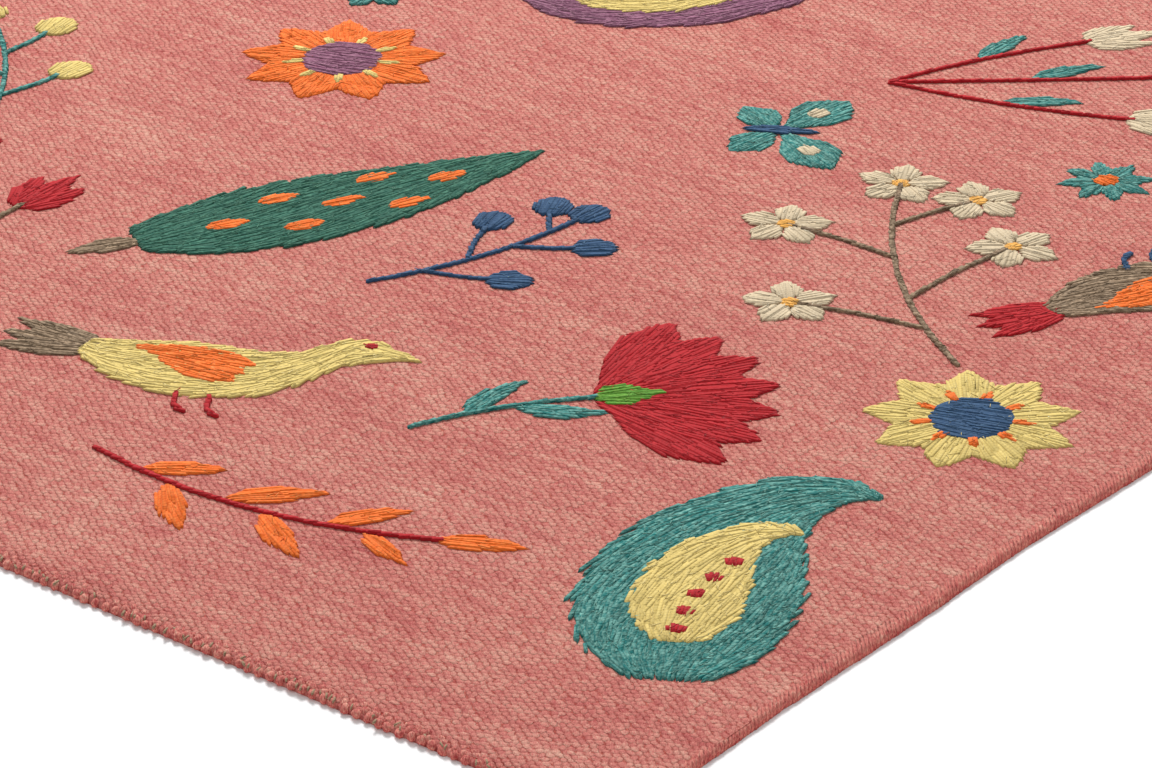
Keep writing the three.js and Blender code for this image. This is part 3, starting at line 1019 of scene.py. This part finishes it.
# The ground sheet: its faces across and along the rug, how far inside the ends its rim and its next points
# stay, and how high the rim stands, in millimetres
GROUND_COLUMNS = 80
GROUND_ROWS = 122
RIM_INSET = 1.6
SHOULDER_INSET = 4.5
RIM_HEIGHT = 2.2


class RUG_OT_ground(bpy.types.Operator):
    """Weave the ground, a thin sheet with soft swells between its edge cords"""

    bl_idname = "rug.ground"
    bl_label = "Woven ground"

    def execute(self, context):
        bm = bmesh.new()
        bmesh.ops.create_grid(bm, x_segments=GROUND_COLUMNS, y_segments=GROUND_ROWS, size=0.5)
        stretch = (HALF_LENGTH - SHOULDER_INSET) * GROUND_ROWS / (GROUND_ROWS - 2)
        for vert in bm.verts:
            at_rim = abs(vert.co.y) > 0.4999
            reach = HALF_LENGTH - RIM_INSET if at_rim else stretch
            y = 2 * vert.co.y * reach
            side = 1 if vert.co.x > 0 else -1
            x = 2 * vert.co.x * (SELVEDGE_X + wander(side, y))
            vert.co = Vector((x, y, RIM_HEIGHT if at_rim else swell(x, y))) * MM
        under = bmesh.ops.extrude_face_region(bm, geom=bm.faces[:])
        for part in under["geom"]:
            if isinstance(part, bmesh.types.BMVert):
                part.co.z = 0
        bmesh.ops.recalc_face_normals(bm, faces=bm.faces[:])
        for edge in bm.edges:
            edge.smooth = edge.calc_face_angle() < radians(60)
        finish = ground_finish(settings_of(context))
        piece = finished("woven_ground", bm, finish, ["kilim_ground"])
        return {"FINISHED"}


def applied(piece):
    """The mesh of an object with its modifiers applied, after which the object is removed."""
    graph = bpy.context.evaluated_depsgraph_get()
    mesh = bpy.data.meshes.new_from_object(piece.evaluated_get(graph))
    bpy.data.objects.remove(piece)
    return mesh


def coil(radius, section, pitch, length, steps, sides):
    """A strand wound about the X axis from x = 0: one turn of it, repeated in a row and joined."""
    bm = bmesh.new()
    ring = bmesh.ops.create_circle(bm, segments=sides, radius=1.0)["verts"]
    bmesh.ops.scale(bm, vec=(*section, 1), verts=ring)
    bmesh.ops.translate(bm, vec=(0, radius, 0), verts=ring)
    rim = {edge for vert in ring for edge in vert.link_edges}
    bmesh.ops.spin(
        bm, geom=[*ring, *rim], cent=(0, 0, 0), axis=(1, 0, 0),
        dvec=(pitch / steps, 0, 0), angle=2 * pi, steps=steps)
    holder = linked("turn", mesh_of("turn", bm))
    repeat = holder.modifiers.new("turns", "ARRAY")
    repeat.use_relative_offset = False
    repeat.use_constant_offset = True
    repeat.constant_offset_displace = (pitch, 0, 0)
    repeat.count = round(length / pitch)
    repeat.use_merge_vertices = True
    repeat.merge_threshold = 0.01
    bm = bmesh.new()
    bm.from_mesh(applied(holder))
    bmesh.ops.holes_fill(bm, edges=[edge for edge in bm.edges if edge.is_boundary], sides=0)
    return bm


def roughen(bm, seed, *waves):
    """Moves points a little, as hand-spun yarn does. A wave is how far and how often in a millimetre."""
    noise.seed_set(seed)
    for vert in bm.verts:
        place = vert.co.copy()
        for amount, often in waves:
            vert.co += noise.noise_vector(place * often) * amount


def over_floor(bm):
    """Brings points from millimetres to metres, and those that lie too low up to just over the floor."""
    for vert in bm.verts:
        vert.co = Vector((vert.co.x, vert.co.y, max(LOWEST, vert.co.z))) * MM


# Weft wrapped round the edge warp, in millimetres: from one wrap to the next, the length that is wrapped, how
# far in from its line the cord's middle lies, how far a wrap reaches out and in, the height of its middle, and
# how far it rises from there
WRAP_PITCH = 1.5 * PICK_PITCH
WRAPPED_LENGTH = WRAP_PITCH * floor((RUG_LENGTH - 3) / WRAP_PITCH)
WRAP_INSET = 1.3
WRAP_OUT = 4.0
WRAP_IN = 12.0
WRAP_MIDDLE = 0.1
WRAP_RISE = 3.95

# The coil before it is spread, when only lengths along it are real ones: its radius, and half the width and
# height of its strand
COIL_RADIUS = 0.91
COIL_SECTION = (0.62 * WRAP_PITCH, 0.09)

# Wraps nearer the end than this are pressed together by this share, in millimetres
PRESSED_FROM = 3
PRESSED_SHARE = 0.8


class RUG_OT_selvedges(bpy.types.Operator):
    """Wrap the weft round the thick edge warp down each long side"""

    bl_idname = "rug.selvedges"
    bl_label = "Wrapped selvedges"

    def execute(self, context):
        finish = selvedge_finish(settings_of(context))
        for name, side in (("right", 1), ("left", -1)):
            bm = coil(COIL_RADIUS, COIL_SECTION, WRAP_PITCH, WRAPPED_LENGTH, steps=12, sides=5)
            for vert in bm.verts:
                run, out, up = vert.co
                off = out * (WRAP_OUT if out > 0 else WRAP_IN)
                rise = copysign(abs(up) ** (0.6 if out > 0 else 1.0), up)
                y = side * (run - WRAPPED_LENGTH / 2 - off)
                past = abs(y) - (HALF_LENGTH - PRESSED_FROM)
                if past > 0:
                    y -= copysign(PRESSED_SHARE * past, y)
                x = side * (SELVEDGE_X - WRAP_INSET + wander(side, y) + off)
                vert.co = (x, y, WRAP_MIDDLE + WRAP_RISE * rise)
            roughen(bm, 40 + side, (0.5, 0.04), (0.35, 0.21), (0.22, 0.8))
            over_floor(bm)
            bmesh.ops.recalc_face_normals(bm, faces=bm.faces[:])
            finished(f"wrapped_selvedge_{name}", bm, finish, [f"selvedge_{name}"])
        return {"FINISHED"}


def lobe_template():
    """One lobe of weft of unit length, width and height."""
    bm = bmesh.new()
    bmesh.ops.create_uvsphere(bm, u_segments=8, v_segments=6, radius=0.5)
    for face in bm.faces:
        face.smooth = True
    return bpy.data.objects.new("lobe_template", mesh_of("lobe_template", bm))


# Height of the lobes at the ends in millimetres, their lean and that of the warp tips in degrees
END_LOBE_THICK = 4.3
END_LOBE_LEAN = -52
WARP_TIP_LEAN = 118

# Rows of lobes from the rim inwards: distance from the end, height of the middle, length and width of a lobe
END_ROWS = (
    (2.7, 1.8, 7.0, 4.9),
    (5.4, 2.2, 6.8, 4.4),
    (8.3, 2.0, 6.6, 4.0),
)


def end_lobes(chance, row, end):
    """The leaning lobes of one row at an end of the rug."""
    inward, height, length, width = END_ROWS[row]
    pitch = 2 * WARP_PITCH
    count = floor(2 * (SELVEDGE_X - 3) / pitch) - row % 2
    for k in range(count):
        x = (k - (count - 1) / 2) * pitch
        wave = 0.7 * noise.noise(Vector((x * 0.02, end * 9, row * 5)))
        y = HALF_LENGTH - inward + wave + chance.gauss(0, 0.35)
        thick = END_LOBE_THICK * chance.uniform(0.9, 1.1)
        middle = Vector((x + chance.gauss(0, 0.5), end * y, height)) * MM
        turn = radians(END_LOBE_LEAN + chance.gauss(0, 9))
        size = Vector((length * chance.uniform(0.88, 1.12), width * chance.uniform(0.88, 1.12), thick)) * MM
        yield laid(chance, middle, turn, size)


def warp_tips(chance, end):
    """The cut warp ends that show between the lobes at an end of the rug."""
    count = floor(2 * (SELVEDGE_X - 6) / WARP_PITCH)
    for k in range(count):
        if chance.random() < 0.4:
            continue
        x = (k - (count - 1) / 2) * WARP_PITCH
        x += chance.gauss(0, 0.5)
        y = end * (HALF_LENGTH - 3.0 + chance.gauss(0, 1.2))
        turn = radians(WARP_TIP_LEAN + chance.gauss(0, 16))
        size = Vector((chance.uniform(3.4, 5.6), chance.uniform(0.8, 1.2), chance.uniform(0.8, 1.2))) * MM
        yield laid(chance, Vector((x, y, 3.2)) * MM, turn, size)


class RUG_OT_end_rows(bpy.types.Operator):
    """Close each end of the rug with rows of thick weft lobes, with warp tips between them"""

    bl_idname = "rug.end_rows"
    bl_label = "Closed ends"

    def execute(self, context):
        settings = settings_of(context)
        finish = end_finish(settings)
        warp = plain_finish("warp_tips", settings.warp)
        lobe, strand = lobe_template(), strand_template()
        lay_lobes, lay_strands = sewing_nodes(lobe), sewing_nodes(strand)
        for name, end in (("front", -1), ("back", 1)):
            chance = random.Random(30 + end)
            lobes = [place for row in range(len(END_ROWS)) for place in end_lobes(chance, row, end)]
            closed = sewn(f"closed_end_{name}", lobes, lay_lobes, finish, [f"end_cord_{name}"])
            bm = bmesh.new()
            bm.from_mesh(closed.data)
            bmesh.ops.scale(bm, vec=(1 / MM, 1 / MM, 1 / MM), verts=bm.verts)
            roughen(bm, 60 + end, (0.7, 0.07), (0.45, 0.3), (0.4, 0.6))
            over_floor(bm)
            bm.to_mesh(closed.data)
            bm.free()
            tips = list(warp_tips(chance, end))
            sewn(f"warp_tips_{name}", tips, lay_strands, warp, [f"end_cord_{name}"])
        for template in (lobe, strand):
            bpy.data.objects.remove(template)
        return {"FINISHED"}


def strand_template(sides=4, rings=3):
    """One stitch of unit length, width and height, pointed at both ends and arched over the ground."""
    bm = bmesh.new()
    bmesh.ops.create_uvsphere(bm, u_segments=sides, v_segments=rings, radius=1.0)
    unwrap = bm.loops.layers.uv.new("strand")
    place = {}
    for vert in bm.verts:
        is_tip = abs(vert.co.z) > 0.99
        angle = 0.0 if is_tip else atan2(vert.co.y, vert.co.x) + pi / 4
        run = copysign(0.5 if is_tip else 0.37, vert.co.z)
        half = 0.0 if is_tip else 0.5
        place[vert] = (angle / (2 * pi) % 1, run + 0.5)
        vert.co = Vector((run, 1.3 * half * sin(angle), 1.3 * half * cos(angle) + (-0.1 if is_tip else 0.35)))
    for face in bm.faces:
        face.smooth = True
        turns = [place[loop.vert][0] for loop in face.loops]
        wraps = max(turns) - min(turns) > 0.5
        for loop, turn in zip(face.loops, turns):
            loop[unwrap].uv = (turn + 1 if wraps and turn < 0.5 else turn, place[loop.vert][1])
    bmesh.ops.recalc_face_normals(bm, faces=bm.faces[:])
    return bpy.data.objects.new("strand_template", mesh_of("strand_template", bm))


def sewing_nodes(template):
    """Geometry nodes that lay the template at each point, by its turn and size, as one real mesh."""
    tree = bpy.data.node_groups.new("sewing", "GeometryNodeTree")
    tree.interface.new_socket("Geometry", in_out="INPUT", socket_type="NodeSocketGeometry")
    tree.interface.new_socket("Geometry", in_out="OUTPUT", socket_type="NodeSocketGeometry")
    start = tree.nodes.new("NodeGroupInput")
    stop = tree.nodes.new("NodeGroupOutput")
    stitch = tree.nodes.new("GeometryNodeObjectInfo")
    stitch.inputs["Object"].default_value = template
    lay = tree.nodes.new("GeometryNodeInstanceOnPoints")
    real = tree.nodes.new("GeometryNodeRealizeInstances")
    for name, socket in (("turn", "Rotation"), ("size", "Scale")):
        read = tree.nodes.new("GeometryNodeInputNamedAttribute")
        read.data_type = "FLOAT_VECTOR"
        read.inputs["Name"].default_value = name
        tree.links.new(read.outputs["Attribute"], lay.inputs[socket])
    tree.links.new(start.outputs[0], lay.inputs["Points"])
    tree.links.new(stitch.outputs["Geometry"], lay.inputs["Instance"])
    tree.links.new(lay.outputs[0], real.inputs[0])
    tree.links.new(real.outputs[0], stop.inputs[0])
    return tree


def sewn(name, stitches, tree, material, nodes):
    """A piece of many small things, each laid by the node tree at its own place, turn and size."""
    bm = bmesh.new()
    turn = bm.verts.layers.float_vector.new("turn")
    size = bm.verts.layers.float_vector.new("size")
    shade = bm.verts.layers.float.new("shade")
    loose = bm.verts.layers.float.new("loose")
    for stitch in stitches:
        vert = bm.verts.new(stitch["middle"])
        vert[turn], vert[size] = stitch["turn"], stitch["size"]
        vert[shade], vert[loose] = stitch["shade"], stitch["loose"]
    holder = linked(f"{name}_points", mesh_of(f"{name}_points", bm))
    holder.modifiers.new("sewing", "NODES").node_group = tree
    return as_piece(name, applied(holder), material, nodes)


class RUG_OT_embroidery(bpy.types.Operator):
    """Embroider the motifs, one piece for each wool"""

    bl_idname = "rug.embroidery"
    bl_label = "Embroidery"

    def execute(self, context):
        settings = settings_of(context)
        strand, fibre = strand_template(), strand_template(sides=3, rings=2)
        lay_strands, lay_fibres = sewing_nodes(strand), sewing_nodes(fibre)
        chance = random.Random(5)
        slots = {part["node"]: part["material_slot"] for part in frame["record"]["subparts"]}
        for wool, stitches in all_stitches(settings).items():
            slot = f"wool_{wool}"
            nodes = [n for n in NODES if slots.get(n) == slot]
            _, fleck, share = WOOLS[wool]
            finish = strand_finish(slot, getattr(settings, wool), fleck, share)
            sewn(f"embroidery_{wool}", stitches, lay_strands, finish, nodes)
            bm = bmesh.new()
            for parts, place, flip in placed_motifs():
                for part in parts:
                    if part["wool"] == wool and part["sewing"] != "stem":
                        add_pad(bm, part, place, flip, settings)
            bmesh.ops.scale(bm, vec=(MM, MM, MM), verts=bm.verts)
            bmesh.ops.recalc_face_normals(bm, faces=bm.faces[:])
            finished(f"padding_{wool}", bm, finish, nodes)
            share = settings.loose_share
            fibres = [loose_fibre(stitch, chance) for stitch in stitches if chance.random() < share]
            sewn(f"loose_fibres_{wool}", fibres, lay_fibres, finish, nodes)
        for template in (strand, fibre):
            bpy.data.objects.remove(template)
        return {"FINISHED"}


# Stage


# Half the width of the floor in metres, its grey, and how strongly the white all round shines
FLOOR_HALF = 12
FLOOR_GREY = 0.9
SURROUND_STRENGTH = 0.5

# name, place, aim, width, power
LIGHTS = (
    ("key", (-2.9, 2.5, 3.5), (0.2, -0.4, 0), 1.7, 408),
    ("fill", (2.7, -2.9, 1.5), (0.2, -0.6, 0), 1.8, 16),
)

# The camera as the photograph has it: its place in metres, how far down and round it looks in degrees, and
# its lens and sensor in millimetres
CAMERA_PLACE = (1.7731, -2.3729, 1.16424)
CAMERA_DOWN = 26.65
CAMERA_ROUND = 39
CAMERA_LENS = 156.25
CAMERA_SENSOR = 36


class RUG_OT_stage(bpy.types.Operator):
    """Set the pale floor, the soft lights and the camera at the photograph's angle"""

    bl_idname = "rug.stage"
    bl_label = "Stage"

    def execute(self, context):
        bm = bmesh.new()
        bmesh.ops.create_grid(bm, x_segments=1, y_segments=1, size=FLOOR_HALF)
        floor_piece = linked("floor", mesh_of("floor", bm))
        kit = Finish("pale_floor")
        kit.shader.inputs["Base Color"].default_value = (FLOOR_GREY, FLOOR_GREY, FLOOR_GREY, 1)
        kit.shader.inputs["Roughness"].default_value = 0.9
        floor_piece.data.materials.append(kit.material)

        world = bpy.data.worlds.new("studio")
        world.use_nodes = True
        surround = world.node_tree.nodes["Background"]
        surround.inputs["Color"].default_value = (1, 1, 1, 1)
        surround.inputs["Strength"].default_value = SURROUND_STRENGTH
        context.scene.world = world
        context.scene.view_settings.view_transform = "Standard"

        for name, place, aim, width, power in LIGHTS:
            lamp = bpy.data.lights.new(name, "AREA")
            lamp.size, lamp.energy = width, power
            light = linked(name, lamp)
            light.location = place
            light.rotation_euler = (Vector(aim) - Vector(place)).to_track_quat("-Z", "Y").to_euler()

        lens = bpy.data.cameras.new("camera")
        lens.lens, lens.sensor_width = CAMERA_LENS, CAMERA_SENSOR
        lens.clip_start, lens.clip_end = 0.1, 60
        camera = linked("camera", lens)
        camera.location = CAMERA_PLACE
        camera.rotation_euler = (radians(90 - CAMERA_DOWN), 0, radians(CAMERA_ROUND))
        context.scene.camera = camera
        return {"FINISHED"}


class RUG_PT_panel(bpy.types.Panel):
    """Lists the rug's settings and pieces"""

    bl_idname = "RUG_PT_panel"
    bl_label = "Suzani kilim rug"
    bl_space_type = "VIEW_3D"
    bl_region_type = "UI"
    bl_category = "Rug"

    def draw(self, context):
        settings = settings_of(context)
        for key in settings.bl_rna.properties.keys():
            if key not in {"rna_type", "name"}:
                self.layout.prop(settings, key)
        for operator in OPERATORS:
            self.layout.operator(operator.bl_idname)


OPERATORS = (RUG_OT_stage, RUG_OT_ground, RUG_OT_selvedges, RUG_OT_end_rows, RUG_OT_embroidery)
CLASSES = (RugSettings, *OPERATORS, RUG_PT_panel)


def register():
    for cls in CLASSES:
        bpy.utils.register_class(cls)
    bpy.types.Scene.suzani_rug = bpy.props.PointerProperty(type=RugSettings)


def unregister():
    del bpy.types.Scene.suzani_rug
    for cls in reversed(CLASSES):
        bpy.utils.unregister_class(cls)


def main():
    register()
    bpy.ops.rug.stage()
    bpy.ops.rug.ground()
    bpy.ops.rug.selvedges()
    bpy.ops.rug.end_rows()
    bpy.ops.rug.embroidery()


if __name__ == "__main__":
    main()
